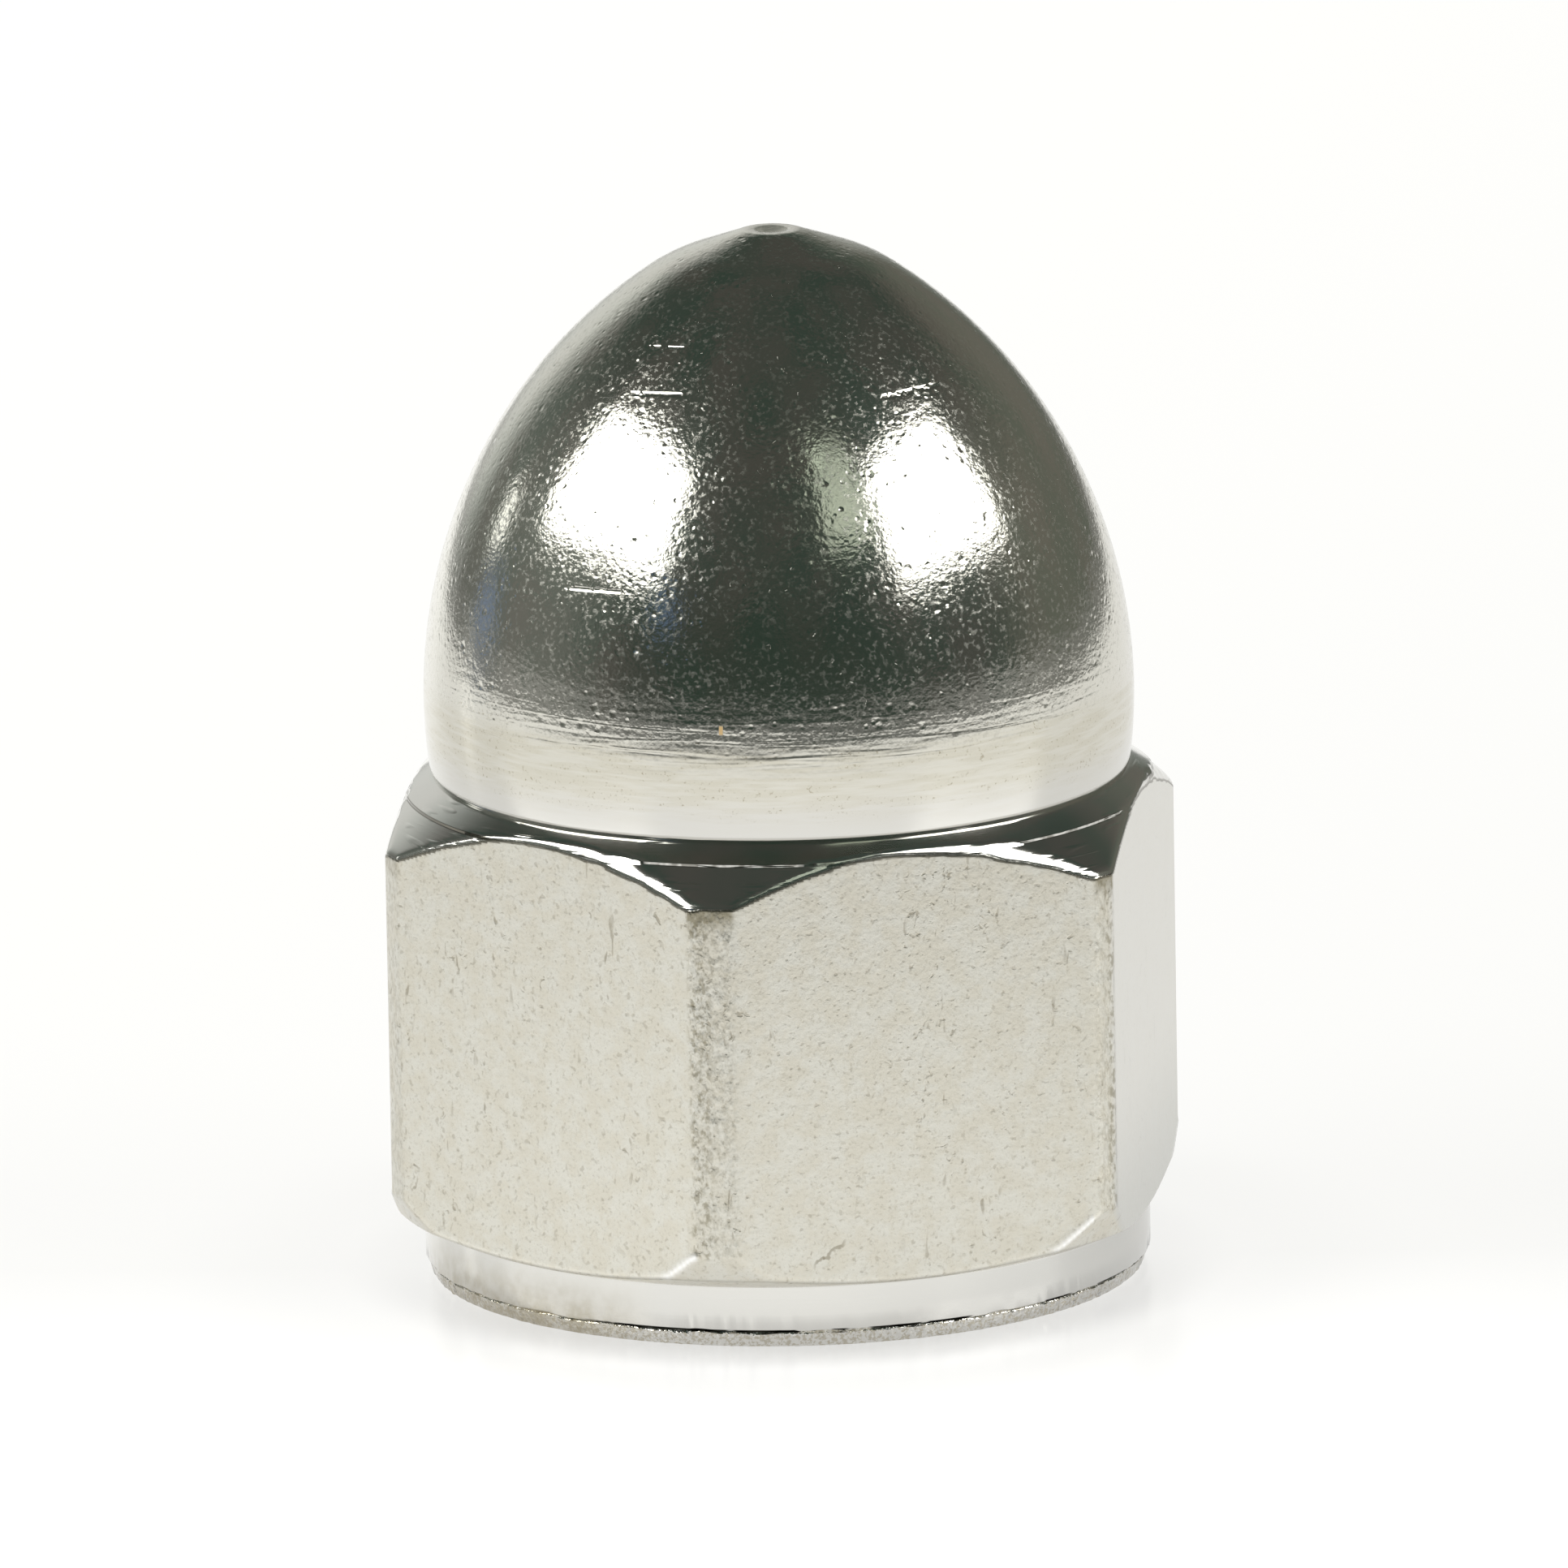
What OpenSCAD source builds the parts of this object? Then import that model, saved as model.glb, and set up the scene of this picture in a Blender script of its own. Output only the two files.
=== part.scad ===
// Cap nut turned from hexagon bar: pointed crown, chamfered hexagon, washer face and blind tapped hole.
// It stands on its washer face at z = 0, on the z axis, with two flats facing +y and -y.

/* [Hexagon] */
// Width across the flats
across_flats = 13; // [11:0.1:17]
// Height from the seat to the rim of the crown
body_h = 9.03; // [8:0.01:11]
// Depth taken off each sharp corner of the bar, measured along the radius
corner_break = 0.18; // [0.05:0.01:0.3]

/* [Upper chamfer] */
// Radial width of the narrow shoulder just outside the rim of the crown
shoulder_w = 0.47; // [0.3:0.01:0.6]
// Slope of that shoulder below the horizontal
shoulder_slope = 32; // [20:1:40]
// Slope of the chamfer that cuts the upper corners
chamfer_slope = 42; // [25:1:55]

/* [Washer face] */
// Step in from the flats to the side of the washer face
boss_inset = 0.07; // [0.05:0.01:0.4]
// Height of the washer face at its side
boss_h = 1.1; // [0.6:0.01:2]
// Radial width of the bevel round the seat
foot_bevel = 0.12; // [0.05:0.01:0.3]
// Height of the bevel round the seat
foot_bevel_h = 0.28; // [0.1:0.01:0.5]
// Slope of the underside of the hexagon, outside the washer face
underside_slope = 23; // [5:1:40]
// Radial width of the steep chamfer on the lower corners
corner_chamfer = 0.3; // [0.1:0.01:0.5]
// Slope of that steep chamfer
corner_chamfer_slope = 60; // [45:1:70]

/* [Crown] */
// Overall height of the nut
total_h = 18.68; // [17:0.01:24]
// Step in from the flats to the widest part of the crown
crown_inset = 0.225; // [0.1:0.005:0.5]
// Height of the widest part above the rim, where the crown tucks in
belly_h = 1.32; // [0.5:0.01:2]
// Diameter at which the curved flank gives way to the blunt nose
nose_d = 3.6; // [2:0.1:5]
// Slope of the nose
nose_slope = 19; // [10:1:25]
// Diameter of the small flat left at the tip
tip_d = 1; // [0.8:0.1:1.6]
// Diameter of the dimple in that flat
dimple_d = 0.56; // [0.3:0.02:0.7]
// Depth of the dimple
dimple_h = 0.1; // [0.05:0.01:0.2]

/* [Thread] */
// Nominal diameter of the thread
thread_d = 8; // [6:0.5:10]
// Pitch of the thread
thread_pitch = 1.25; // [0.75:0.25:1.5]
// How much wider than the thread its countersunk mouth is
mouth_extra = 0.4; // [0.2:0.1:1]
// Metal left between the drill point and the tip of the crown
crown_wall = 4; // [2.5:0.1:6]
// Included angle of the drill point
drill_angle = 118; // [90:1:140]

/* [Hidden] */
$fn = 96;
// How far a cutter runs past the surface that it cuts from
cut = 1;

// Hexagon
flat_r = across_flats / 2;
bar_corner_r = flat_r / cos(30);
corner_r = bar_corner_r - corner_break;

// Washer face and the underside of the hexagon
boss_r = flat_r - boss_inset;
seat_r = boss_r - foot_bevel;
underside_r = corner_r - corner_chamfer;
underside_z = boss_h + (underside_r - boss_r) * tan(underside_slope);
lower_corner_z = underside_z + corner_chamfer * tan(corner_chamfer_slope);

// The flank of the crown is an arc that is upright at the widest part and ends at the nose
crown_r = flat_r - crown_inset;
belly_z = body_h + belly_h;
nose_r = nose_d / 2;
tip_r = tip_d / 2;
nose_z = total_h - (nose_r - tip_r) * tan(nose_slope);
flank_in = crown_r - nose_r;
flank_up = nose_z - belly_z;
flank_r = (flank_in * flank_in + flank_up * flank_up) / (2 * flank_in);
flank_x = crown_r - flank_r;
rim_r = flank_x + sqrt(flank_r * flank_r - belly_h * belly_h);
dimple_r = dimple_d / 2;
dimple_ball_r = (dimple_r * dimple_r + dimple_h * dimple_h) / (2 * dimple_h);

// Shoulder and chamfer above the flats
ridge_r = rim_r + shoulder_w;
ridge_z = body_h - shoulder_w * tan(shoulder_slope);
upper_corner_z = ridge_z - (corner_r - ridge_r) * tan(chamfer_slope);

// Blind hole at the tapping size
drill_r = (thread_d - thread_pitch) / 2;
mouth_r = (thread_d + mouth_extra) / 2;
mouth_h = mouth_r - drill_r;
point_h = drill_r / tan(drill_angle / 2);
drill_depth = total_h - crown_wall - point_h;

// Half section of the hexagon part as it is turned, from the seat to the rim
module body_section() {
    polygon([
        [0, 0],
        [seat_r, 0],
        [boss_r, foot_bevel_h],
        [boss_r, boss_h],
        [underside_r, underside_z],
        [corner_r, lower_corner_z],
        [corner_r, upper_corner_z],
        [ridge_r, ridge_z],
        [rim_r, body_h],
        [0, body_h]
    ]);
}

// Half section of the crown: the flank's arc up to the nose, the core under the nose, and the tip's dimple.
// The arc starts inside the hexagon part, so that the two sections overlap.
module crown_section() {
    difference() {
        union() {
            intersection() {
                translate([flank_x, belly_z]) circle(r = flank_r);
                translate([0, boss_h]) square([crown_r + cut, nose_z - boss_h]);
            }
            polygon([
                [0, belly_z],
                [nose_r, belly_z],
                [nose_r, nose_z],
                [tip_r, total_h],
                [0, total_h]
            ]);
        }
        translate([0, total_h - dimple_h + dimple_ball_r]) circle(r = dimple_ball_r);
    }
}

// Drilled hole with its countersunk mouth
module tapping_hole() {
    translate([0, 0, -cut]) cylinder(r = drill_r, h = drill_depth + cut);
    translate([0, 0, drill_depth]) cylinder(r1 = drill_r, r2 = 0, h = point_h);
    translate([0, 0, -cut]) cylinder(r1 = mouth_r + cut, r2 = drill_r, h = mouth_h + cut);
}

module hexagon_bar() {
    cylinder(r = bar_corner_r, h = total_h, $fn = 6);
}

// The nut: what the lathe leaves of the bar, with the hole drilled from the seat
module cap_nut() {
    color("silver")
    difference() {
        intersection() {
            hexagon_bar();
            rotate_extrude() {
                body_section();
                crown_section();
            }
        }
        tapping_hole();
    }
}

cap_nut();
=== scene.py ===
"""Looks of the cap nut: turned from hexagon bar, plated, on a white table between two softboxes.

Lengths are in millimetres in the nut's own frame, and MM turns them into the frame's metres.
"""
import math

import bpy
import numpy as np
from mathutils import Matrix, Vector


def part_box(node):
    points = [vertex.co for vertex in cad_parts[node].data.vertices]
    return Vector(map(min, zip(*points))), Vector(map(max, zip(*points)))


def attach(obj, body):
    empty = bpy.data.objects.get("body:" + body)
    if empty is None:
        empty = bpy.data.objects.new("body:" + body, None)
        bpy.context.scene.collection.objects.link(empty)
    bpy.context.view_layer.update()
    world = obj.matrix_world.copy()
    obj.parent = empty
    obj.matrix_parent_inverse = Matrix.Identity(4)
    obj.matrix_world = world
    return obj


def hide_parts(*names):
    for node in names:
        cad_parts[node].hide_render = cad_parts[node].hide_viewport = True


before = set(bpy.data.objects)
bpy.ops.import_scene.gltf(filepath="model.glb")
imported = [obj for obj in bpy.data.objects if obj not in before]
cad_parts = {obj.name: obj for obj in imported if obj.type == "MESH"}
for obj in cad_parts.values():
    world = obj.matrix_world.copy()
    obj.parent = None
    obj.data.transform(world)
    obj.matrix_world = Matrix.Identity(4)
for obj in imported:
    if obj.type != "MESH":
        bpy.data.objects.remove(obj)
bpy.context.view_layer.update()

MM = 0.001

# ---------------------------------------------------------------- sizes, worked out from the frame
_, nut_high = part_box("cap_nut")
TOTAL_H = nut_high.z / MM
FLAT_R = nut_high.y / MM
CORNER_R = nut_high.x / MM

# Washer face, from the seat up
SEAT_R = FLAT_R - 0.19
BOSS_R = FLAT_R - 0.07
BOSS_H = 1.1
BOSS_EDGE_Z = 0.7
FOOT_GROOVE_Z = 0.29
UNDERSIDE_SLOPE = math.radians(23)
CORNER_CHAMFER = 0.3
CORNER_CHAMFER_SLOPE = math.radians(60)
UNDERSIDE_Z = BOSS_H + (CORNER_R - CORNER_CHAMFER - BOSS_R) * math.tan(UNDERSIDE_SLOPE)

# Crown
BELLY_R = FLAT_R - 0.225
BELLY_Z = 10.35
NOSE_R = 1.8
NOSE_SLOPE = math.radians(19)
NOSE_BEND = 0.4
TIP_R = 0.5
DIMPLE_R = 0.28
DIMPLE_H = 0.07
NOSE_Z = TOTAL_H - (NOSE_R - TIP_R) * math.tan(NOSE_SLOPE)
FLANK_R = ((BELLY_R - NOSE_R) ** 2 + (NOSE_Z - BELLY_Z) ** 2) / (2 * (BELLY_R - NOSE_R))
FLANK_X = BELLY_R - FLANK_R

# Shoulder round the crown, the fine step at its edge, and the chamfer outside it
RIM_Z = 9.03
RIM_R = FLANK_X + math.sqrt(FLANK_R**2 - (BELLY_Z - RIM_Z) ** 2)
RIDGE_R = 6.65
RIDGE_Z = 8.74
RIDGE_STEP = 0.04
CHAMFER_SLOPE = math.radians(42)

# The crown draws in a little more just above its rim
FOOT_TUCK_H = 0.13
FOOT_TUCK = 0.02

# Thread and hole
MAJOR_R = 4.0
DRILL_R = 3.375
PITCH = 1.25
MOUTH_R = 4.2
DRILL_DEPTH = 12.65
THREAD_END = 11.3
END_TAPER_H = 0.4
POINT_H = DRILL_R / math.tan(math.radians(59))

# The thread's ridge is sunk a little into the wall, and fades into it over a part of a turn at each end,
# down to a small share of its height
THREAD_START_Z = 0.75
THREAD_SUNK = 0.02
THREAD_TURNS = 8
THREAD_STEPS = 72
RUN_OUT_TURNS = 0.3
RUN_OUT_END = 0.02

# Where the flats meet what the lathe turned, the edge is rolled over, most where the cutter came out
ROLL_TILT = math.radians(32)
ROLL_ENTRY = 0.012
ROLL_EXIT = 0.048
ROLL_GROWS = (math.radians(-6), math.radians(9))
ROLL_SHRINKS = (math.radians(14), math.radians(27))
ROLL_STOPS = (math.radians(29), math.radians(27))
ROLL_SHRINKAGE = 0.35
ROLL_RAGGED = 0.16
LOWER_ROLL = 0.02
MID_HEXAGON_Z = 5
ARC_ROUND = 0.04
STRIP_ROUND = 0.05
UNEVEN_CORNERS = 0.05

# The burr at each flat's lower corner, which also carries a painted highlight: its height, where it
# starts and stops, how far its middle is above the edge, and how wide it is
BURR_H = 0.015
BURR_STARTS = (math.radians(20.5), math.radians(23))
BURR_STOPS = math.radians(27.4)
BURR_ABOVE = 0.04
BURR_REACH = 0.07

# How far the lip at the foot, the groove above it and their heights wander
LIP_WANDER = 0.012
GROOVE_WANDER = 0.01
FOOT_WAVE = 0.016

# Steps round the nut, which crowd towards its corners, and rings up the hexagon, with few in its middle
SEGMENTS = 384
CORNER_CROWDING = 0.5
MIDDLE_FROM = 2.4
MIDDLE_TO = 7.7
LOWER_RINGS = 44
MIDDLE_RINGS = 8
UPPER_RINGS = 30
SHOULDER_RINGS = 10


# ---------------------------------------------------------------- making meshes
def start(primitive, **settings):
    """A new primitive, alone in the selection, in edit mode with all of it selected."""
    bpy.ops.object.select_all(action="DESELECT")
    primitive(**settings)
    bpy.ops.object.mode_set(mode="EDIT")
    bpy.ops.mesh.select_all(action="SELECT")


def draw_section(points):
    """A chain of vertices through the (radius, height) points of a half section."""
    start(bpy.ops.mesh.primitive_plane_add, size=MM)
    bpy.ops.mesh.merge(type="CENTER")
    place = Vector((0, 0, 0))
    target = Vector((points[0][0], 0, points[0][1])) * MM
    bpy.ops.transform.translate(value=target - place)
    place = target
    for radius, height in points[1:]:
        target = Vector((radius, 0, height)) * MM
        bpy.ops.mesh.extrude_vertices_move(TRANSFORM_OT_translate={"value": target - place})
        place = target


def turn(name, points, segments):
    """A body turned from a half section: the section is spun, and its seam and poles are closed."""
    draw_section(points)
    bpy.ops.mesh.select_all(action="SELECT")
    bpy.ops.mesh.spin(steps=segments, angle=math.tau, center=(0, 0, 0), axis=(0, 0, 1))
    bpy.ops.mesh.select_all(action="SELECT")
    bpy.ops.mesh.remove_doubles(threshold=0.0005 * MM)
    bpy.ops.mesh.normals_make_consistent(inside=False)
    bpy.ops.object.mode_set(mode="OBJECT")
    piece = bpy.context.object
    piece.name = name
    piece.data.name = name
    return piece


def arc(center_r, center_z, radius, start_angle, end_angle, steps):
    """Points along an arc of the section, with its angles from the horizontal."""
    angles = np.linspace(start_angle, end_angle, steps + 1)
    return [(center_r + radius * math.cos(a), center_z + radius * math.sin(a)) for a in angles]


def line(a, b, steps):
    """Points from a towards b, without b."""
    return [tuple(np.array(a) + (np.array(b) - np.array(a)) * i / steps) for i in range(steps)]


def bend(a, corner, b, steps):
    """Points inside a smooth bend from a to b, which is drawn towards the corner between them."""
    a, corner, b = (np.array(point) for point in (a, corner, b))
    shares = [i / steps for i in range(1, steps)]
    return [tuple(a * (1 - t) ** 2 + corner * 2 * t * (1 - t) + b * t**2) for t in shares]


def lathe_radius(z):
    """How far out the lathe left metal at a height in the hexagon, were the bar endlessly wide."""
    lower = np.minimum(
        BOSS_R + (z - BOSS_H) / math.tan(UNDERSIDE_SLOPE),
        CORNER_R - CORNER_CHAMFER + (z - UNDERSIDE_Z) / math.tan(CORNER_CHAMFER_SLOPE),
    )
    shoulder = RIDGE_R - (z - RIDGE_Z) * (RIDGE_R - RIM_R) / (RIM_Z - RIDGE_Z)
    chamfer = RIDGE_R + (RIDGE_Z - RIDGE_STEP - z) / math.tan(CHAMFER_SLOPE)
    upper = np.where(z > RIDGE_Z, shoulder, np.maximum(chamfer, RIDGE_R))
    past_corners = CORNER_R + 0.5
    return np.minimum(np.minimum(lower, upper), past_corners)


def hexagon_heights():
    """Heights of the rings in the hexagon, close together where its ends are chamfered."""
    lower = np.linspace(BOSS_H, MIDDLE_FROM, LOWER_RINGS)
    middle = np.linspace(MIDDLE_FROM, MIDDLE_TO, MIDDLE_RINGS)[1:-1]
    upper = np.linspace(MIDDLE_TO, RIDGE_Z - RIDGE_STEP, UPPER_RINGS)
    shoulder = np.linspace(RIDGE_Z, RIM_Z - 0.02, SHOULDER_RINGS)
    return np.concatenate([lower, middle, upper, shoulder])


def hole_section():
    """Half section of the hole, from the drill point to the mouth."""
    return [
        (0, DRILL_DEPTH + POINT_H),
        (DRILL_R * 0.5, DRILL_DEPTH + POINT_H * 0.5),
        (DRILL_R, DRILL_DEPTH),
        (DRILL_R, THREAD_END + END_TAPER_H),
        (MAJOR_R, THREAD_END),
        (MAJOR_R, THREAD_END / 2),
        (MAJOR_R, MOUTH_R - MAJOR_R),
        (MOUTH_R, 0),
    ]


def foot_section():
    """Half section of the washer face, from the seat past its lip and groove to the hexagon."""
    return [
        (MOUTH_R + 0.03, 0),
        (SEAT_R - 0.1, 0),
        (SEAT_R - 0.02, 0.005),
        (SEAT_R, 0.03),
        (SEAT_R + 0.05, FOOT_GROOVE_Z - 0.09),
        (SEAT_R + 0.06, FOOT_GROOVE_Z - 0.045),
        (SEAT_R + 0.045, FOOT_GROOVE_Z - 0.025),
        (SEAT_R + 0.04, FOOT_GROOVE_Z),
        (BOSS_R - 0.01, FOOT_GROOVE_Z + 0.02),
        (BOSS_R, FOOT_GROOVE_Z + 0.04),
        (BOSS_R, BOSS_EDGE_Z),
        (BOSS_R, BOSS_H - 0.03),
    ]


def crown_section():
    """Half section of the crown, from its rim to the dimple in its tip."""
    rim_angle = math.asin((RIM_Z - BELLY_Z) / FLANK_R)
    tuck_angle = rim_angle + FOOT_TUCK_H / FLANK_R
    nose_angle = math.asin((NOSE_Z - BELLY_Z) / FLANK_R)
    above_rim = arc(FLANK_X, BELLY_Z, FLANK_R, rim_angle, tuck_angle, 6)
    tucks = [FOOT_TUCK * max(0, 1 - (z - RIM_Z) / FOOT_TUCK_H) ** 2 for _, z in above_rim]
    crown_foot = [(r - tuck, z) for (r, z), tuck in zip(above_rim, tucks)]
    flank = arc(FLANK_X, BELLY_Z, FLANK_R, tuck_angle, nose_angle - NOSE_BEND / FLANK_R, 60)[1:]
    bend_end = (NOSE_R - NOSE_BEND, NOSE_Z + NOSE_BEND * math.tan(NOSE_SLOPE))
    nose_edge = bend(flank[-1], (NOSE_R, NOSE_Z), bend_end, 7)
    nose = line(bend_end, (TIP_R, TOTAL_H), 5)
    tip = [
        (TIP_R + 0.03, TOTAL_H - 0.012),
        (TIP_R - 0.03, TOTAL_H),
        (DIMPLE_R + 0.02, TOTAL_H - 0.003),
        (DIMPLE_R * 0.85, TOTAL_H - DIMPLE_H * 0.35),
        (DIMPLE_R * 0.5, TOTAL_H - DIMPLE_H * 0.8),
        (0, TOTAL_H - DIMPLE_H),
    ]
    return crown_foot + flank + nose_edge + nose + tip


def nut_section():
    """Half section of the nut, from the drill point, out round the seat, to the tip of the crown."""
    hexagon = [(float(lathe_radius(z)), float(z)) for z in hexagon_heights()]
    return hole_section() + foot_section() + hexagon + crown_section()


def smooth_min(a, b, width):
    """The lesser of two lengths, rounded over where they are within a width of each other."""
    blend = np.clip(0.5 + 0.5 * (b - a) / width, 0, 1)
    return b + (a - b) * blend - width * blend * (1 - blend), 1 - blend


def read_vertices(piece):
    """Where a piece's vertices are, in metres."""
    numbers = np.empty(len(piece.data.vertices) * 3, dtype=np.float32)
    piece.data.vertices.foreach_get("co", numbers)
    return numbers.reshape(-1, 3).astype(float)


def move_vertices(piece, place):
    """Moves a piece's vertices to places in metres."""
    piece.data.vertices.foreach_set("co", place.astype(np.float32).ravel())
    piece.data.update()


def store(piece, name, values):
    """A number for each vertex, which a material reads by name."""
    layer = piece.data.attributes.new(name, "FLOAT", "POINT")
    layer.data.foreach_set("value", np.asarray(values, dtype=np.float32))


def wander(angle, seed, waves):
    """A wavering number around 0 that comes back to itself once round the nut."""
    chance = np.random.default_rng(seed)
    total = np.zeros_like(angle)
    for count in chance.integers(waves // 5, waves, 14):
        total += np.sin(angle * count + chance.uniform(0, math.tau)) / 4
    return total


def smooth_step(value, low, high):
    """0 at low, 1 at high and smooth between."""
    share = np.clip((value - low) / (high - low), 0, 1)
    return share**2 * (3 - 2 * share)


def rolled_edge(z, bar, from_flat, angle):
    """How far out the rolled edge lies, by the bar's radius and the angle from a flat's middle."""
    on_shoulder = RIDGE_Z + (RIDGE_R - bar) * (RIM_Z - RIDGE_Z) / (RIDGE_R - RIM_R)
    on_chamfer = RIDGE_Z - RIDGE_STEP - (bar - RIDGE_R) * math.tan(CHAMFER_SLOPE)
    upper_edge = np.where(bar < RIDGE_R, on_shoulder, on_chamfer)
    lower_edge = BOSS_H + (bar - BOSS_R) * math.tan(UNDERSIDE_SLOPE)
    leaving = smooth_step(from_flat, *ROLL_GROWS)
    leaving = leaving * (1 - ROLL_SHRINKAGE * smooth_step(from_flat, *ROLL_SHRINKS))
    leaving = leaving * smooth_step(from_flat, *ROLL_STOPS)
    ragged = 1 + ROLL_RAGGED * wander(angle, 5, 110)
    upper = bar + (upper_edge - z) * math.tan(ROLL_TILT) - (ROLL_ENTRY + ROLL_EXIT * leaving) * ragged
    lower = bar + (z - lower_edge) * math.tan(ROLL_TILT) - LOWER_ROLL * ragged
    return np.where(z > MID_HEXAGON_Z, upper, lower)


def corner_burr(z, bar, from_flat):
    """1 on the burr at each flat's lower corner, on the side where the cutter came out, where a
    highlight is painted.
    """
    chamfer_r = CORNER_R - CORNER_CHAMFER
    lower_edge = BOSS_H + (np.minimum(bar, chamfer_r) - BOSS_R) * math.tan(UNDERSIDE_SLOPE)
    lower_edge += np.clip(bar - chamfer_r, 0, None) * math.tan(CORNER_CHAMFER_SLOPE)
    along = smooth_step(from_flat, *BURR_STARTS)
    along = along * (from_flat < BURR_STOPS)
    above_edge = z - lower_edge - BURR_ABOVE
    return np.exp(-((above_edge / BURR_REACH) ** 2)) * along


def ragged_foot(z, radius, angle):
    """How far the lip and the groove at the foot wander out, and how far up."""
    on_foot = (radius > SEAT_R - 0.03) & (radius < BOSS_R + 0.01)
    on_lip = (z > 0.001) & (z < FOOT_GROOVE_Z - 0.03) & on_foot
    on_groove = (z > FOOT_GROOVE_Z - 0.04) & (z < FOOT_GROOVE_Z + 0.03) & (radius > SEAT_R)
    outwards = np.where(on_lip, LIP_WANDER * wander(angle, 8, 300), 0)
    outwards = outwards + np.where(on_groove, GROOVE_WANDER * wander(angle, 9, 200), 0)
    near_groove = np.clip(1 - abs(z - FOOT_GROOVE_Z) / 0.2, 0, 1) * (radius > SEAT_R) * (z < 1)
    return outwards, near_groove * FOOT_WAVE * wander(angle, 10, 70)


def mill_hexagon(nut):
    """Brings the turned blank in to six flats and their corner strips, with the edges rolled over."""
    place = read_vertices(nut) / MM
    angle = np.arctan2(place[:, 1], place[:, 0])
    angle = angle - CORNER_CROWDING / 6 * np.sin(6 * angle)
    radius = np.hypot(place[:, 0], place[:, 1])
    from_flat = np.mod(angle, math.tau / 6) - math.tau / 12
    corner_r = CORNER_R - UNEVEN_CORNERS * np.sin(2 * angle)
    bar, strip = smooth_min(FLAT_R / np.cos(from_flat), corner_r, STRIP_ROUND)
    z = place[:, 2]
    rolled, _ = smooth_min(radius, rolled_edge(z, bar, from_flat, angle), ARC_ROUND)
    milled_radius, milled = smooth_min(rolled, bar, ARC_ROUND)
    in_hexagon = (z > BOSS_H - 0.01) & (z < RIM_Z + 0.001) & (radius > RIM_R - 0.01)
    burr = np.where(in_hexagon, corner_burr(z, bar, from_flat), 0)
    radius = np.where(in_hexagon, milled_radius + BURR_H * burr, radius)
    outwards, upwards = ragged_foot(z, radius, angle)
    radius = radius + outwards
    place[:, 2] = z + upwards
    place[:, 0] = radius * np.cos(angle)
    place[:, 1] = radius * np.sin(angle)
    move_vertices(nut, place * MM)
    store(nut, "milled", np.where(in_hexagon, milled, 0))
    store(nut, "strip", np.where(in_hexagon, milled * strip, 0))
    store(nut, "burr", burr)


def make_nut():
    """The nut's outside and the smooth walls of its hole."""
    nut = turn("nut_body", nut_section(), SEGMENTS)
    mill_hexagon(nut)
    bpy.ops.object.shade_smooth_by_angle(angle=math.radians(38))
    return nut


def run_out(thread, wall, corners):
    """Draws the thread's ridge back into the wall over the last part of a turn at each end."""
    place = read_vertices(thread).reshape(-1, corners, 3)
    turns = np.arange(len(place)) / THREAD_STEPS
    to_end = turns[-1] - turns
    height = smooth_step(turns, 0, RUN_OUT_TURNS) * smooth_step(to_end, 0, RUN_OUT_TURNS)
    height = (RUN_OUT_END + (1 - RUN_OUT_END) * height)[:, None]
    radius = np.hypot(place[:, :, 0], place[:, :, 1])
    share = (wall * MM - (wall * MM - radius) * height) / radius
    place[:, :, 0] *= share
    place[:, :, 1] *= share
    move_vertices(thread, place)


def make_thread():
    """The ridge of the thread, which winds up the wall of the hole."""
    base = PITCH * 7 / 16
    crest = PITCH / 8
    wall = MAJOR_R + THREAD_SUNK
    ridge = [(wall, -base), (DRILL_R, -crest), (DRILL_R, crest), (wall, base)]
    draw_section([(r, z + THREAD_START_Z) for r, z in ridge])
    bpy.ops.mesh.select_all(action="SELECT")
    bpy.ops.mesh.edge_face_add()
    bpy.ops.object.mode_set(mode="OBJECT")
    thread = bpy.context.object
    thread.name = "thread_ridge"
    screw = thread.modifiers.new("Winding", "SCREW")
    screw.axis = "Z"
    screw.screw_offset = PITCH * MM
    screw.iterations = THREAD_TURNS
    screw.steps = screw.render_steps = THREAD_STEPS
    screw.use_normal_calculate = True
    bpy.ops.object.modifier_apply(modifier="Winding")
    run_out(thread, wall, len(ridge))
    bpy.ops.object.mode_set(mode="EDIT")
    bpy.ops.mesh.select_all(action="SELECT")
    bpy.ops.mesh.fill_holes(sides=len(ridge))
    bpy.ops.mesh.select_all(action="SELECT")
    bpy.ops.mesh.normals_make_consistent(inside=False)
    bpy.ops.object.mode_set(mode="OBJECT")
    bpy.ops.object.shade_smooth_by_angle(angle=math.radians(30))
    return thread


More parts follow.
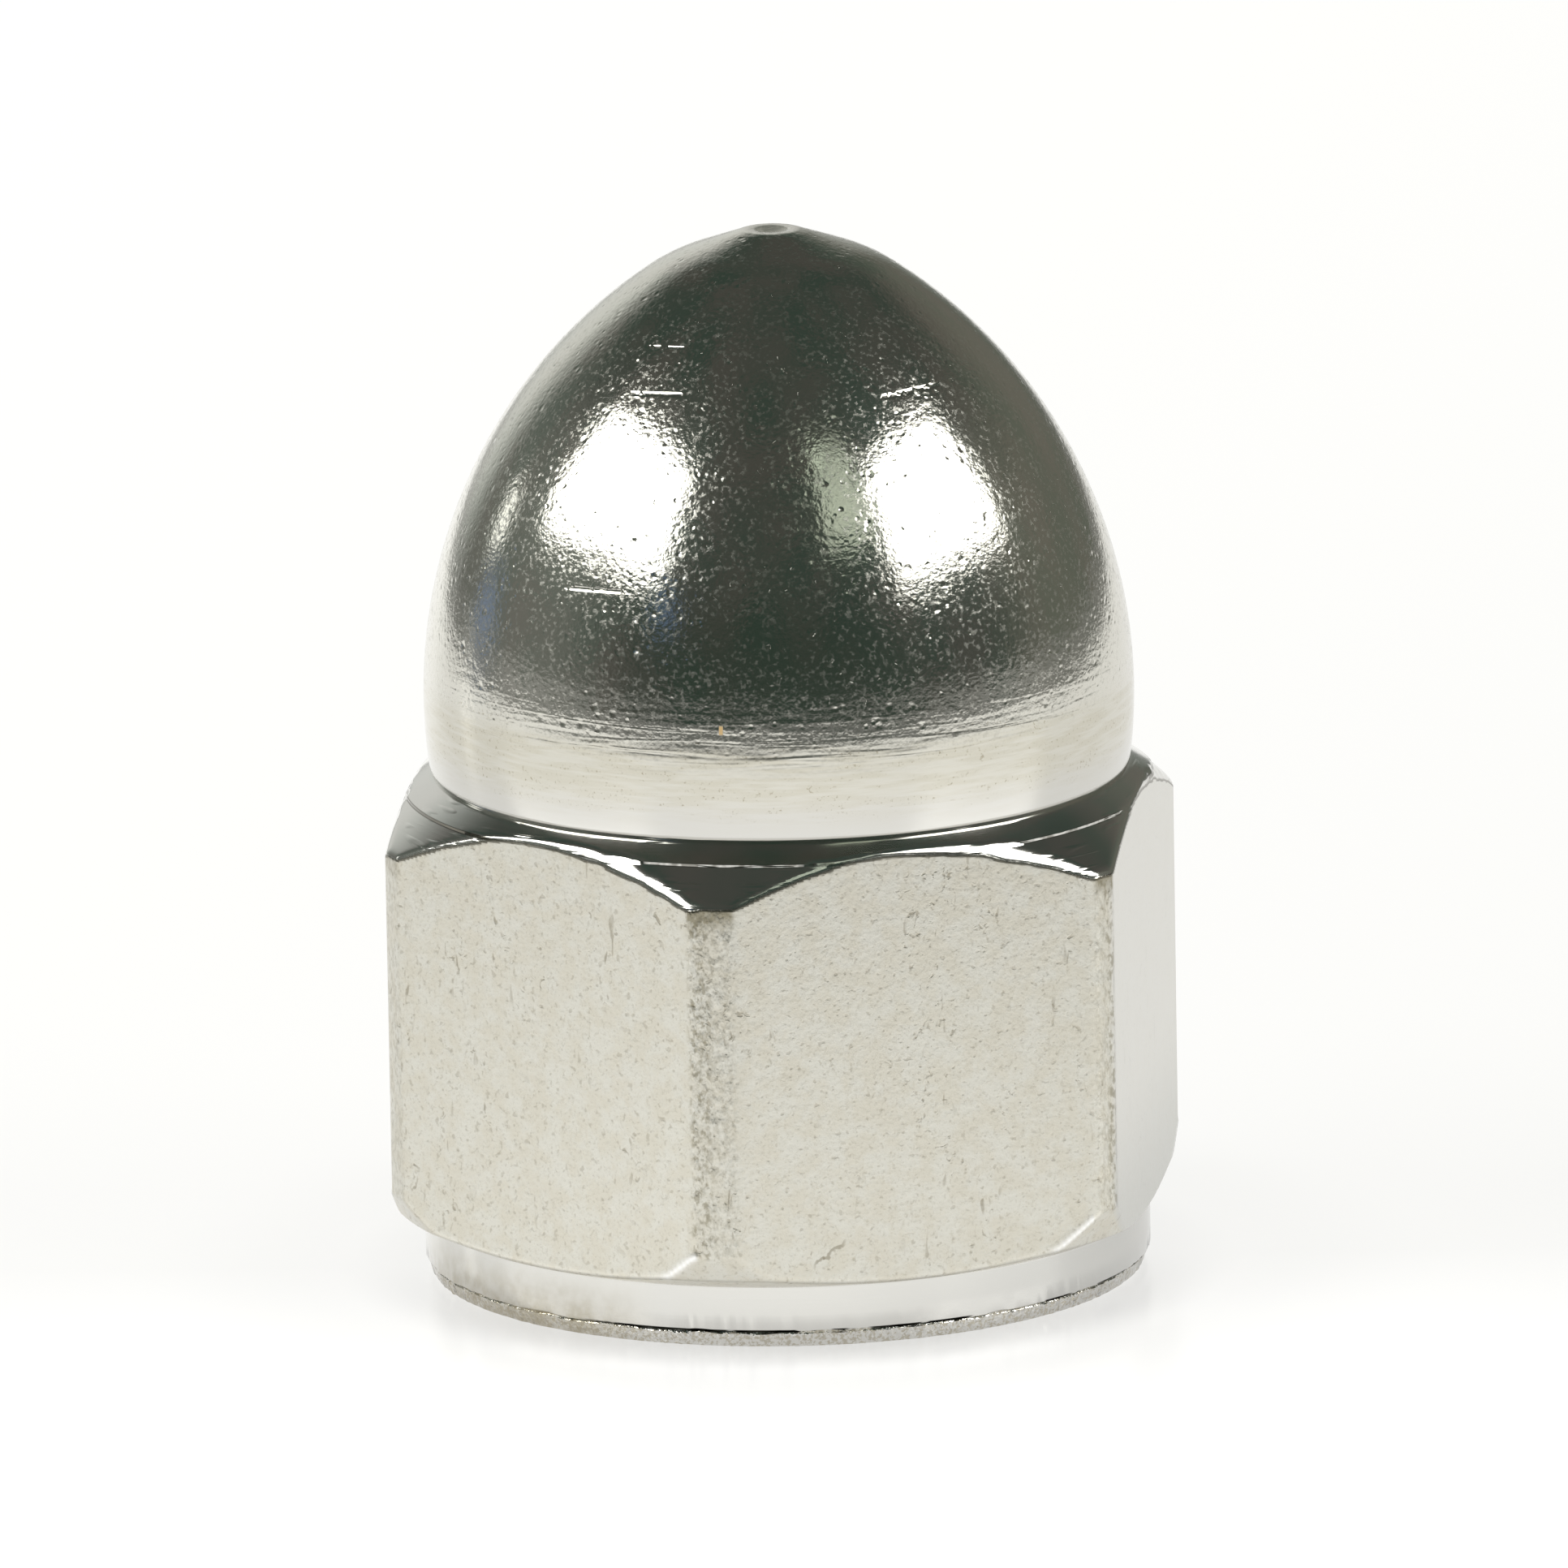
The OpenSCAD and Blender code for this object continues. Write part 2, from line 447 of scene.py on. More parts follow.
# ---------------------------------------------------------------- shader maths
class Sock:
    """A number in a shader. Operators on it add the Math nodes that work it out."""

    def __init__(self, tree, link):
        self.tree = tree
        self.link = link

    def math(self, operation, *others):
        """This number and any others, put through one Math node."""
        return self.tree.node("ShaderNodeMath", {"operation": operation}, [self, *others])

    def __add__(self, other):
        return self.math("ADD", other)

    def __radd__(self, other):
        return self.math("ADD", other)

    def __sub__(self, other):
        return self.math("SUBTRACT", other)

    def __rsub__(self, other):
        return self.tree.node("ShaderNodeMath", {"operation": "SUBTRACT"}, [other, self])

    def __mul__(self, other):
        return self.math("MULTIPLY", other)

    def __rmul__(self, other):
        return self.math("MULTIPLY", other)

    def __truediv__(self, other):
        return self.math("DIVIDE", other)

    def __abs__(self):
        return self.math("ABSOLUTE")

    def __neg__(self):
        return self * -1

    def power(self, exponent):
        return self.math("POWER", exponent)

    def greater(self, other):
        """The greater of this and another number."""
        return self.math("MAXIMUM", other)

    def smooth(self, low, high):
        """0 below low, 1 above high, smooth between; the other way round where low is the greater."""
        if low > high:
            return 1 - self.smooth(high, low)
        settings = {"interpolation_type": "SMOOTHSTEP"}
        inputs = {"Value": self, "From Min": low, "From Max": high}
        return self.tree.node("ShaderNodeMapRange", settings, inputs)

    def band(self, low, full_low, full_high, high):
        """1 between the middle two numbers, 0 outside the outer two, smooth between."""
        return self.smooth(low, full_low) * self.smooth(high, full_high)

    def within(self, ends, fade):
        """1 between two ends and 0 outside them, smooth over a fade to either side of each."""
        return self.band(ends[0] - fade, ends[0] + fade, ends[1] - fade, ends[1] + fade)


class Tree:
    """A node tree, with one method that adds any node."""

    def __init__(self, owner):
        owner.use_nodes = True
        self.nodes = owner.node_tree.nodes
        self.links = owner.node_tree.links
        self.nodes.clear()

    def node(self, kind, settings=None, inputs=None, output=0):
        """Adds a node with its settings and inputs, and gives one of its outputs."""
        made = self.nodes.new(kind)
        for name, value in (settings or {}).items():
            setattr(made, name, value)
        pairs = inputs.items() if isinstance(inputs, dict) else enumerate(inputs or [])
        for name, value in pairs:
            socket = made.inputs[name]
            if isinstance(value, Sock):
                self.links.new(value.link, socket)
            else:
                socket.default_value = value
        return Sock(self, made.outputs[output]) if made.outputs else None

    def mix_color(self, factor, a, b):
        a, b = ((*color, 1) if isinstance(color, tuple) else color for color in (a, b))
        return self.node("ShaderNodeMix", {"data_type": "RGBA"}, {0: factor, 6: a, 7: b}, output=2)

    def mix(self, factor, a, b):
        return self.node("ShaderNodeMix", {"data_type": "FLOAT"}, {0: factor, 2: a, 3: b})

    def attribute(self, name):
        return self.node("ShaderNodeAttribute", {"attribute_name": name}, output="Fac")

    def object_mm(self, stretch=(1, 1, 1)):
        """Object coordinates in millimetres, stretched along each axis."""
        place = self.node("ShaderNodeTexCoord", output="Object")
        scale = tuple(s / MM for s in stretch)
        return self.node("ShaderNodeVectorMath", {"operation": "MULTIPLY"}, [place, scale])

    def scale_color(self, color, strength):
        inputs = {"Vector": color, "Scale": strength}
        return self.node("ShaderNodeVectorMath", {"operation": "SCALE"}, inputs)

    def add_light(self, light, color, strength):
        """A light's colour with more light of another colour added to it."""
        extra = self.scale_color(color, strength)
        return self.node("ShaderNodeVectorMath", {"operation": "ADD"}, [light, extra])

    def noise(self, place, size, detail=2.0, roughness=0.5, distortion=0.0):
        """Noise around 0.5 with features of a size in millimetres."""
        inputs = {"Vector": place, "Scale": 1 / size, "Detail": detail, "Roughness": roughness}
        inputs["Distortion"] = distortion
        return self.node("ShaderNodeTexNoise", None, inputs)

    def split(self, vector):
        """The three parts of a vector."""
        node = self.node("ShaderNodeSeparateXYZ", None, [vector]).link.node
        return [Sock(self, node.outputs[name]) for name in "XYZ"]


# ---------------------------------------------------------------- finishes
PLATE = (0.72, 0.71, 0.675)
WARM_PLATE = (0.735, 0.72, 0.655)
STAINED_PLATE = (0.63, 0.60, 0.50)
STAIN_SPOT = (0.36, 0.32, 0.23)
ORANGE_SPECK = (0.80, 0.56, 0.28)
# The foot's plate is painted lighter than the plate above it, to brighten what it mirrors
FOOT_PLATE_PAINTED_LIGHTER = (0.79, 0.78, 0.745)
FOOT_SIDE_SHADE = (0.61, 0.605, 0.585)
LIP_DIRT = (0.42, 0.37, 0.26)
SIDE_DIRT = (0.40, 0.355, 0.25)
GROOVE_SHADE = (0.02, 0.02, 0.015)
RING_STEP_SHADE = (0.16, 0.15, 0.12)
FLAT_DARKER = (0.72, 0.69, 0.60)
FLAT_PALER = (0.75, 0.735, 0.665)
FLAT_GRAIN = (0.45, 0.42, 0.33)
PIT = (0.27, 0.235, 0.165)
CLEAN_FLAT = (0.80, 0.79, 0.75)
RIGHT_FLAT_FOOT_SHADE = (0.60, 0.605, 0.58)
STRIP_DIRT = (0.28, 0.25, 0.17)
BURR_HIGHLIGHT = (0.97, 0.97, 0.96)
ARC_SHADE = (0.12, 0.11, 0.08)
CUT_METAL = (0.5, 0.49, 0.46, 1)

PLATE_ROUGHNESS = 0.12
FLAT_ROUGHNESS = 0.3

# Heights between which a finish or a painted shade shows: where it starts and is full, then where it
# fades and has ended
STAINED_BAND = (9.0, 10.2, 10.5, 10.9)
SPOTTED_BAND = (9.3, 9.7, 10.8, 11.2)
TOOL_MARK_BAND = (10.3, 10.55, 11.15, 11.45)
PEBBLED_BAND = (9.6, 9.9, 10.6, 10.9)
GROOVED_BAND = (7.9, 8.1, 9.01, 9.04)
UNDERSIDE_BAND = (1.08, 1.16, 2.9, 3.0)
FOOT_GROOVE_BAND = (0.27, 0.275, 0.325, 0.335)
RING_BAND = (RIDGE_Z - RIDGE_STEP - 0.02, RIDGE_Z - RIDGE_STEP, RIDGE_Z, RIDGE_Z + 0.015)

# Heights over which a finish, a painted shade or painted light sets in, on the crown, on the hexagon and
# on the foot
PEEL_ABOVE = (10.4, 11.1)
ROUGHER_ABOVE = (10.2, 10.8)
COOLER_BELOW = (10.0, 9.4)
STRIP_DIRT_ABOVE = (7.55, 8.0)
ARC_LINE_ABOVE = (5, 6)
RIGHT_FLAT_SHADE_BELOW = (4.2, 1.2)
SIDE_DIRT_BELOW = (1.3, 0.1)
FOOT_BELOW = (1.15, 1.05)
LIP_DIRT_BELOW = (0.33, 0.27)
LIP_BELOW = (0.32, 0.26)

# Level directions in degrees from x, with how far out a finish or a painted shade sets in that way
RIGHT_FLAT = -30, (FLAT_R - 0.1, FLAT_R)
SHADED_FOOT_SIDE = -20, (0, 7)
DIRTY_SIDE = -162, (5.4, 6.2)

# Scratches: their middle's angle from x in degrees, radius, height and slope, then half length and width
SCRATCHES = [
    ((-145, 3.25, 17.15, 0.06), 0.42, 0.025),
    ((-141, 3.95, 16.46, 0.06), 0.62, 0.045),
    ((-73, 4.0, 16.40, 0.04), 0.75, 0.055),
    ((-143, 5.78, 13.31, 0.04), 0.75, 0.05),
]

# Depths of the crown's relief, with the size of each kind of dent before its depth
SCRATCH_DEPTH = 0.010
PEEL_DEPTH = 0.0040
SWELL_DEPTH = 0.005
SMALL_DENTS = (0.13, 0.0055)
WIDE_DENTS = (0.21, 0.009)
TOOL_MARK_DEPTH = 0.0065
SQUIGGLE_DEPTH = 0.0015

# Depths of the relief below the crown
TURNED_DEPTH = 0.0012
RING_GROOVE_DEPTH = 0.006
LIP_DEPTH = 0.03
GRAIN_DEPTH = 0.005
WAVE_DEPTH = 0.004
PIT_DEPTH = 0.003
STRIP_DEPTH = 0.02

# The orange speck on the crown and the crack near the foot of the front flat, with half lengths and half
# widths, over which each fades
SPECK_AZIMUTH = math.radians(-119.4)
SPECK_Z = 11.05
SPECK_W = (0.007, 0.004)
SPECK_L = (0.10, 0.06)
CRACK_X = -1.6
CRACK_Z = 1.74
CRACK_SLOPE = 0.7
CRACK_W = (0.05, 0.02)
CRACK_L = (0.34, 0.22)
CRACK_BEND = 0.35
FRONT_FLAT_Y = (-6.3, -6.4)


def toward(x, y, degrees, sets_in):
    """1 far out in a level direction, and 0 nearer than where it sets in."""
    out = x * math.cos(math.radians(degrees)) + y * math.sin(math.radians(degrees))
    return out.smooth(*sets_in)


def scratch(around, up, middle, length, width):
    """1 along a scratch round the crown."""
    azimuth, radius, height, slope = middle
    along = (around - math.radians(azimuth)) * radius
    across = up - height - along * slope
    return abs(across).smooth(width, width * 0.2) * abs(along).smooth(length, length * 0.6)


def crown_scratches(tree, place):
    """The few long scratches on the crown, which break off here and there."""
    x, y, z = tree.split(place)
    around = y.math("ARCTAN2", x)
    marks = scratch(around, z, *SCRATCHES[0])
    for facts in SCRATCHES[1:]:
        marks = marks + scratch(around, z, *facts)
    broken = tree.noise(place, 0.16, 1.0).smooth(0.36, 0.5)
    return marks.math("MINIMUM", 1) * broken


def dent_field(tree, place, size, depth):
    """Close-set shallow dents, a few of them much deeper than the rest."""
    texture = tree.node("ShaderNodeTexVoronoi", None, {"Vector": place, "Scale": 1 / size})
    distance = Sock(tree, texture.link.node.outputs["Distance"])
    chance = tree.split(Sock(tree, texture.link.node.outputs["Color"]))[0]
    return distance.smooth(0.45, 0.0) * chance.power(4) * -depth


def crown_height(tree, place, z):
    """Relief of the crown: orange peel, small dents, and tool marks just above the widest part."""
    peel = tree.noise(tree.object_mm((1, 1, 1.2)), 0.08, 1.5, 0.55) * PEEL_DEPTH
    swell = tree.noise(place, 0.32, 1.0) * SWELL_DEPTH
    dents = dent_field(tree, place, *SMALL_DENTS) + dent_field(tree, place, *WIDE_DENTS)
    scratches = crown_scratches(tree, place) * -SCRATCH_DEPTH
    marks = tree.noise(tree.object_mm((0.3, 0.3, 4.2)), 0.6, 1.0, 0.5, 0.8)
    squiggles = tree.noise(tree.object_mm((0.7, 0.7, 1)), 0.11, 1.0)
    streaky = z.band(*TOOL_MARK_BAND)
    pebbled = z.band(*PEBBLED_BAND)
    relief = (peel + swell + dents + scratches) * z.smooth(*PEEL_ABOVE)
    return relief + marks * (streaky * TOOL_MARK_DEPTH + 0.001) + squiggles * pebbled * SQUIGGLE_DEPTH


def shoulder_height(tree, place, z):
    """Relief of what the lathe left on the hexagon and the foot: rings, and a rough lip."""
    marks = tree.noise(tree.object_mm((0.08, 0.08, 3)), 0.2, 1.0) * TURNED_DEPTH
    grooves = tree.noise(tree.object_mm((0.25, 0.25, 3)), 0.3, 1.0, 0.5, 0.4).smooth(0.54, 0.72)
    grooved = tree.noise(place, 1.0, 1.0).smooth(0.35, 0.6) * z.band(*GROOVED_BAND)
    rough_lip = z.smooth(*LIP_BELOW) * tree.noise(place, 0.09, 2.0) * LIP_DEPTH
    return marks + grooves * grooved * RING_GROOVE_DEPTH + rough_lip


def flat_height(tree, place):
    """Relief of the drawn flats: fine grain, low waves and pits."""
    grain = tree.noise(place, 0.12, 3.0, 0.6) * GRAIN_DEPTH
    waves = tree.noise(tree.object_mm((1, 1, 0.4)), 0.6, 2.0) * WAVE_DEPTH
    return grain + waves - flat_pits(tree, place) * PIT_DEPTH


def flat_pits(tree, place):
    """Where the flats are darkened by pits, which lie in patches, and by short marks along the bar."""
    patches = tree.noise(tree.object_mm((1, 1, 0.3)), 0.7, 1.0).smooth(0.48, 0.68)
    pits = tree.noise(place, 0.17, 2.0, 0.6, 0.6).smooth(0.60, 0.74) * (0.25 + patches * 0.75)
    tiny = tree.noise(place, 0.11, 1.0).smooth(0.60, 0.76) * 0.5
    along = tree.noise(tree.object_mm((1, 1, 0.3)), 0.13, 1.0, 0.5, 0.5).smooth(0.64, 0.76) * patches
    return (pits + tiny + along).math("MINIMUM", 1)


def add_surface(tree, color, metallic, roughness, relief=None):
    """The metal's surface, with its relief, if any, in millimetres."""
    inputs = {"Base Color": color, "Metallic": metallic, "Roughness": roughness}
    if relief is not None:
        bump = {"Height": relief * MM, "Distance": 1.0, "Strength": 1.0}
        inputs["Normal"] = tree.node("ShaderNodeBump", None, bump)
    surface = tree.node("ShaderNodeBsdfPrincipled", None, inputs)
    tree.node("ShaderNodeOutputMaterial", None, {"Surface": surface})


def crown_metal():
    """Bright plate over the turned crown, above its rim."""
    material = bpy.data.materials.new("bright_plate")
    tree = Tree(material)
    place = tree.object_mm()
    x, y, z = tree.split(place)
    color = tree.mix_color(z.smooth(*COOLER_BELOW), WARM_PLATE, PLATE)
    streaks = tree.noise(tree.object_mm((0.25, 0.25, 2.5)), 0.3, 2.0, 0.6)
    stained = z.band(*STAINED_BAND) * (0.2 + streaks.smooth(0.35, 0.6) * 0.5)
    color = tree.mix_color(stained, color, STAINED_PLATE)
    grain = tree.noise(place, 0.06, 2.0, 0.7)
    spots = grain.smooth(0.58, 0.70) * streaks.smooth(0.45, 0.6) * z.band(*SPOTTED_BAND)
    color = tree.mix_color(spots * 0.7, color, STAIN_SPOT)
    rough_patches = tree.noise(place, 0.5, 1.0).smooth(0.2, 0.5)
    rough_specks = tree.noise(place, 0.085, 1.0, 0.6).smooth(0.50, 0.68) * rough_patches
    pitted_tip = (x * x + y * y).smooth(0.10, 0.075) * z.smooth(17, 18)
    roughness = PLATE_ROUGHNESS + rough_specks * z.smooth(*ROUGHER_ABOVE) * 0.15 + pitted_tip * 0.4
    speck = abs(y.math("ARCTAN2", x) - SPECK_AZIMUTH).smooth(*SPECK_W)
    speck = speck * abs(z - SPECK_Z).smooth(*SPECK_L)
    color = tree.mix_color(speck, color, ORANGE_SPECK)
    add_surface(tree, color, 1 - speck, roughness, crown_height(tree, place, z))
    return material


def flat_color(tree, place):
    """Colour of the drawn flats: grey-yellow, mottled, pitted and cracked, and cleaner on the right,
    with painted shade low on the right flat and a painted highlight on each burr.
    """
    x, y, z = tree.split(place)
    mottle = tree.noise(place, 0.4, 3.0, 0.6)
    grain = tree.noise(place, 0.06, 2.0, 0.7)
    color = tree.mix_color(mottle.smooth(0.35, 0.65), FLAT_DARKER, FLAT_PALER)
    color = tree.mix_color(grain.smooth(0.5, 0.75) * 0.32, color, FLAT_GRAIN)
    crack_x = x - CRACK_X
    crack_bend = (tree.noise(place, 0.2, 2.0) - 0.5) * CRACK_BEND
    from_crack = abs(z - CRACK_Z - crack_x * CRACK_SLOPE - crack_bend)
    crack = from_crack.smooth(*CRACK_W) * abs(crack_x).smooth(*CRACK_L) * y.smooth(*FRONT_FLAT_Y)
    marks = (flat_pits(tree, place) * 0.6 + crack * 0.6).math("MINIMUM", 0.8)
    color = tree.mix_color(marks, color, PIT)
    # Painted shade: the right flat darkens towards its foot
    right_flat_shade = z.smooth(*RIGHT_FLAT_SHADE_BELOW) * 0.8
    right_color = tree.mix_color(right_flat_shade, CLEAN_FLAT, RIGHT_FLAT_FOOT_SHADE)
    color = tree.mix_color(toward(x, y, *RIGHT_FLAT) * 0.85, color, right_color)
    strip_mottle = tree.noise(tree.object_mm((1, 1, 0.7)), 0.10, 2.0, 0.6).smooth(0.42, 0.66)
    dirty_edges = x.smooth(-3.62, -3.78) + x.smooth(3.66, 3.76)
    strip_dirt = strip_mottle * (0.25 + dirty_edges * 0.4) + z.smooth(*STRIP_DIRT_ABOVE) * 0.7
    strip_dirt = strip_dirt * tree.attribute("strip").smooth(0.2, 0.8) * (0.4 + (-y).smooth(2, 6) * 0.6)
    color = tree.mix_color(strip_dirt.math("MINIMUM", 0.85), color, STRIP_DIRT)
    # Painted highlight along the burr
    color = tree.mix_color(tree.attribute("burr"), color, BURR_HIGHLIGHT)
    milled = tree.attribute("milled")
    arc_line = milled.smooth(0.5, 0.7) * milled.smooth(0.999, 0.96) * z.smooth(*ARC_LINE_ABOVE)
    return tree.mix_color(arc_line * 0.75, color, ARC_SHADE)


def shoulder_color(tree, place):
    """Colour of what the lathe left on the hexagon and the foot, with painted shade in the ring's step
    and dirt on the lip.
    """
    x, y, z = tree.split(place)
    on_foot = z.smooth(*FOOT_BELOW)
    # Painted light: the foot is a lighter copy of the plate above it
    color = tree.mix_color(on_foot, PLATE, FOOT_PLATE_PAINTED_LIGHTER)
    # Painted shade on the foot's right side, deeper further out that way
    color = tree.mix_color(toward(x, y, *SHADED_FOOT_SIDE) * 0.9 * on_foot, color, FOOT_SIDE_SHADE)
    lip_grain = tree.noise(place, 0.07, 2.0, 0.7).smooth(0.45, 0.6)
    color = tree.mix_color(z.smooth(*LIP_DIRT_BELOW) * (0.05 + lip_grain * 0.55), color, LIP_DIRT)
    side_mottle = tree.noise(place, 0.3, 3.0).smooth(0.3, 0.7)
    side_dirt = toward(x, y, *DIRTY_SIDE) * z.smooth(*SIDE_DIRT_BELOW) * (0.5 + side_mottle * 0.5)
    color = tree.mix_color(side_dirt * 0.75, color, SIDE_DIRT)
    broken = tree.noise(tree.object_mm((1, 1, 0.1)), 0.8, 2.0).smooth(0.42, 0.5) * y.smooth(-3.5, -4.5)
    color = tree.mix_color(z.band(*FOOT_GROOVE_BAND) * broken, color, GROOVE_SHADE)
    # Painted shade in the fine step at the ring: in patches all round, and solid across the front
    on_ring = z.band(*RING_BAND)
    ring_step_shade = tree.noise(place, 0.2, 2.0).smooth(0.4, 0.65) * 0.7
    ring_step_shade = (ring_step_shade + y.smooth(-3.2, -2.2)).math("MINIMUM", 1)
    return tree.mix_color(on_ring * ring_step_shade, color, RING_STEP_SHADE)


def hexagon_metal():
    """Duller plate over the drawn flats and the corner strips, and bright plate over the turned rest."""
    material = bpy.data.materials.new("dull_plate")
    tree = Tree(material)
    place = tree.object_mm()
    z = tree.split(place)[2]
    underside = z.band(*UNDERSIDE_BAND)
    flat_finish = tree.attribute("milled").smooth(0.5, 0.9).greater(underside)
    strip_relief = tree.noise(tree.object_mm((1, 1, 0.5)), 0.13, 2.0) * STRIP_DEPTH
    flat_relief = flat_height(tree, place) + tree.attribute("strip").smooth(0.2, 0.8) * strip_relief
    relief = tree.mix(flat_finish, shoulder_height(tree, place, z), flat_relief)
    color = tree.mix_color(flat_finish, shoulder_color(tree, place), flat_color(tree, place))
    add_surface(tree, color, 1.0, tree.mix(flat_finish, PLATE_ROUGHNESS, FLAT_ROUGHNESS), relief)
    return material


def plate(nut):
    """The crown gets one finish, and all below its rim the other."""
    nut.data.materials.append(crown_metal())
    nut.data.materials.append(hexagon_metal())
    just_below_rim = (RIM_Z - 0.005) * MM
    for face in nut.data.polygons:
        face.material_index = 0 if face.center.z > just_below_rim else 1


def thread_metal():
    """The cut thread, duller than the outside."""
    material = bpy.data.materials.new("thread_metal")
    tree = Tree(material)
    cut_marks = tree.noise(tree.object_mm((0.3, 0.3, 3)), 0.3, 3.0)
    add_surface(tree, CUT_METAL, 1.0, 0.25 + cut_marks * 0.2)
    return material


# ---------------------------------------------------------------- the table, the light and the camera
CAMERA_AZIMUTH = math.radians(-20)
CAMERA_ELEVATION = math.radians(13)
CAMERA_ROLL = math.radians(0.983)
CAMERA_DISTANCE = 450
CAMERA_LENS = 584.55
AIM_RIGHT = 0.063
AIM_HEIGHT = 8.655

TABLE_SIZE_M = 8
TABLE_WHITE = (1.0, 0.995, 0.98)
TABLE_GREY = (0.13, 0.13, 0.13, 1)
TABLE_LIGHT = 0.79

# Changes of the table's light near the nut: the distances at which each starts and is full, how much
# it is all round, and how much more it is in front
WIDE_SHADE = (12.0, 8.0), 0.04, 0.07
FOOT_SHADE = (8.2, 6.4), 0.06, 0.3
FRONT_GLOW = (75, 45), 0, 0.19

# What the nut mirrors of the table fades from full to a least share between these distances, which count
# for less sideways and behind the nut
MIRRORED = (88, 44)
MIRRORED_LEAST = 0.1
SIDEWAYS_SHARE = 0.4
BEHIND_SHARE = 0.22

# Directions are in degrees, to the right from the camera's and up from level.
# Softboxes: azimuth, then two sides and two ends as tangents of the angles from it and from level
LEFT_BOX = -62, (-0.80, 0.28), (0.52, 1.16)
RIGHT_BOX = 62, (-0.25, 0.64), (0.48, 1.10)
BOX_FADE = 0.10
BOX_LIGHT = 6.5

# Patches of the sky: middle and half width, lower and upper end, and fades sideways and up
LAMP = (-122, 3), (9, 16), (2, 2)
PALE_WALL = (-165, 20), (-5, 29), (12, 12)
WINDOW = (31, 10), (35, 58), (1.5, 1.5)
FRONT_CLOTH = (-40, 3), (17, 22), (4, 4)
SIDE_CLOTH = (-115, 4), (-2, 6), (5, 5)
LEFT_SIDE = (-105, 40), (-10, 30), (20, 15)
RIGHT_SIDE = (130, 42), (-10, 30), (20, 15)
LOW_FRONT = (0, 40), (-15, 22), (25, 12)

LAMP_LIGHT = 1.6
WALL_LIGHT = 0.66
WINDOW_LIGHT = 0.7
CLOTH_LIGHT = 0.3
LEFT_LIGHT = 0.10
RIGHT_LIGHT = 0.09
BACKDROP_LIGHT = 1.1

LAMP_WHITE = (1.0, 1.0, 0.97)
WINDOW_GREEN = (0.88, 1.0, 0.82)
CLOTH_BLUE = (0.25, 0.45, 1.0)
LEFT_WHITE = (1.0, 1.0, 0.93)
RIGHT_YELLOW = (1.0, 0.92, 0.76)
ROOM_GREEN = (0.040, 0.062, 0.050)
ROOM_GREY = (0.075, 0.074, 0.066)
LOW_FRONT_GREEN = (0.022, 0.042, 0.030)


def toward_camera(tree, place):
    """A place or direction, turned so that its x points to the camera and its y to the right."""
    inputs = {"Vector": place, "Angle": math.pi / 2 - CAMERA_AZIMUTH}
    return tree.split(tree.node("ShaderNodeVectorRotate", {"rotation_type": "Z_AXIS"}, inputs))


def change_near(away, in_front, reach, all_round, more_in_front):
    """How much the table's light changes near the nut."""
    return away.smooth(*reach) * (in_front * more_in_front + all_round)


def table_light(tree):
    """How brightly the table shines, to the camera and in what the nut mirrors."""
    front, side, _ = toward_camera(tree, tree.object_mm())
    away = (front * front + side * side).math("SQRT")
    in_front = front.greater(0) / away
    light = 1 - change_near(away, in_front, *WIDE_SHADE) - change_near(away, in_front, *FOOT_SHADE)
    light = light + change_near(away, in_front, *FRONT_GLOW)
    front = front.greater(0) + (-front).greater(0) * BEHIND_SHARE
    reach = (front * front + side * side * SIDEWAYS_SHARE).math("SQRT")
    mirrored = MIRRORED_LEAST + reach.smooth(*MIRRORED) * (1 - MIRRORED_LEAST)
    seen = tree.node("ShaderNodeLightPath", output="Is Camera Ray")
    return mirrored.greater(seen) * light


def make_table():
    """A white table top that runs past the view."""
    start(bpy.ops.mesh.primitive_plane_add, size=TABLE_SIZE_M)
    bpy.ops.mesh.subdivide(number_cuts=4)
    bpy.ops.object.mode_set(mode="OBJECT")
    table = bpy.context.object
    table.name = "table_top"
    material = bpy.data.materials.new("white_acrylic")
    tree = Tree(material)
    inputs = {"Base Color": TABLE_GREY, "Roughness": 0.24, "IOR": 1.33}
    inputs["Emission Color"] = tree.scale_color(TABLE_WHITE, table_light(tree))
    inputs["Emission Strength"] = TABLE_LIGHT
    surface = tree.node("ShaderNodeBsdfPrincipled", None, inputs)
    tree.node("ShaderNodeOutputMaterial", None, {"Surface": surface})
    table.data.materials.append(material)


def sky_patch(direction, azimuth, elevation, fade):
    """1 inside a patch of the sky and 0 well outside it."""
    x, y, z = direction
    level = (x * x + y * y).math("SQRT")
    turn_cos = math.cos(math.radians(azimuth[0]))
    turn_sin = math.sin(math.radians(azimuth[0]))
    apart = ((x * turn_cos + y * turn_sin) / level).math("ARCCOSINE") * math.degrees(1)
    up = z.math("ARCSINE") * math.degrees(1)
    across = apart.smooth(azimuth[1] + fade[0], azimuth[1] - fade[0])
    return across * up.within(elevation, fade[1])


def softbox(direction, azimuth, sides, ends):
    """1 on an upright panel that faces the nut, and 0 off it."""
    x, y, z = direction
    turn_cos = math.cos(math.radians(azimuth))
    turn_sin = math.sin(math.radians(azimuth))
    depth = (x * turn_cos + y * turn_sin).greater(0.001)
    across = (y * turn_cos - x * turn_sin) / depth
    up = z / depth
    return across.within(sides, BOX_FADE) * up.within(ends, BOX_FADE)


